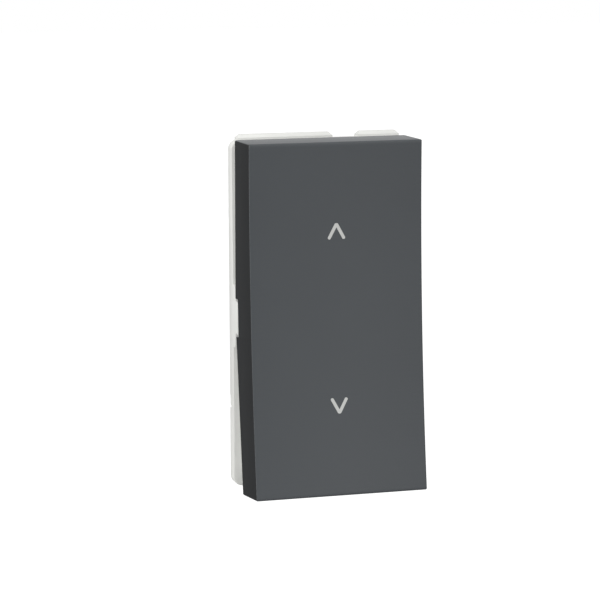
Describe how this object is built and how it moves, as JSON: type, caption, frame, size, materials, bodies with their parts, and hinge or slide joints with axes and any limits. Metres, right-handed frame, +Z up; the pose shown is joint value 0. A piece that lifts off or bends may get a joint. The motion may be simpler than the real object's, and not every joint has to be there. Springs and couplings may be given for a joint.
{
  "type": "two-way switch",
  "caption": "One-module two-way rocker switch insert: hollowed anthracite key with up and down arrows on a white chassis, snap lugs, and a rear housing with push-in terminals.",
  "frame": {"origin": "centre of the module in the plane of the flange's back face", "axes": "+X to the right, +Z up, +Y into the wall; the front of the switch looks towards -Y"},
  "size_m": [0.0222, 0.0332, 0.0458],
  "materials": {
    "rocker_anthracite": "fine satin moulded plastic, anthracite",
    "carrier_white": "moulded plastic, off-white",
    "plunger_plastic": "natural acetal",
    "spring_steel": "drawn spring wire",
    "chassis_white": "moulded plastic, off-white",
    "housing_white": "moulded plastic, off-white",
    "bridge_copper": "pressed copper alloy",
    "contact_silver": "silver contact metal",
    "terminal_brass": "rolled brass",
    "clamp_steel": "stainless spring strip",
    "button_grey": "moulded plastic, mid grey"
  },
  "bodies": {
    "housing": {"front_chassis": "chassis_white", "rear_housing": "housing_white", "terminal_upper": "terminal_brass", "terminal_common": "terminal_brass", "terminal_lower": "terminal_brass", "fixed_contact_upper": "contact_silver", "fixed_contact_lower": "contact_silver", "clamp_spring_upper": "clamp_steel", "clamp_spring_common": "clamp_steel", "clamp_spring_lower": "clamp_steel"},
    "rocker": {"rocker_cap": "rocker_anthracite", "rocker_carrier": "carrier_white", "plunger_spring": "spring_steel"},
    "plunger": {"plunger": "plunger_plastic"},
    "bridge": {"contact_bridge": "bridge_copper", "moving_contact_upper": "contact_silver", "moving_contact_lower": "contact_silver"},
    "release_upper": {"release_button_upper": "button_grey"},
    "release_common": {"release_button_common": "button_grey"},
    "release_lower": {"release_button_lower": "button_grey"}
  },
  "joints": [
    {"name": "rocker_hinge", "type": "hinge", "parent": "housing", "child": "rocker", "pos_m": [0, -0.0039, 0], "axis": [1, 0, 0], "range_deg": [0, 7.2]},
    {"name": "plunger_slide", "type": "slide", "parent": "rocker", "child": "plunger", "axis": [0, 0.998, -0.0628], "range_m": [-0.0006, 0], "stiffness_N_per_m": 300, "springref_m": 0.002, "deforming": ["plunger_spring"]},
    {"name": "bridge_tilt", "type": "hinge", "parent": "housing", "child": "bridge", "pos_m": [0, 0.0086, 0], "axis": [1, 0, 0], "range_deg": [-14.4, 0]},
    {"name": "release_upper_press", "type": "slide", "parent": "housing", "child": "release_upper", "axis": [0, -1, 0], "range_m": [0, 0.0012], "stiffness_N_per_m": 500, "springref_m": -0.001, "deforming": ["clamp_spring_upper"]},
    {"name": "release_common_press", "type": "slide", "parent": "housing", "child": "release_common", "axis": [0, -1, 0], "range_m": [0, 0.0012], "stiffness_N_per_m": 500, "springref_m": -0.001, "deforming": ["clamp_spring_common"]},
    {"name": "release_lower_press", "type": "slide", "parent": "housing", "child": "release_lower", "axis": [0, -1, 0], "range_m": [0, 0.0012], "stiffness_N_per_m": 500, "springref_m": -0.001, "deforming": ["clamp_spring_lower"]}
  ],
  "couplings": [
    {"joint": "bridge_tilt", "follows": "rocker_hinge", "ratio": -2}
  ]
}
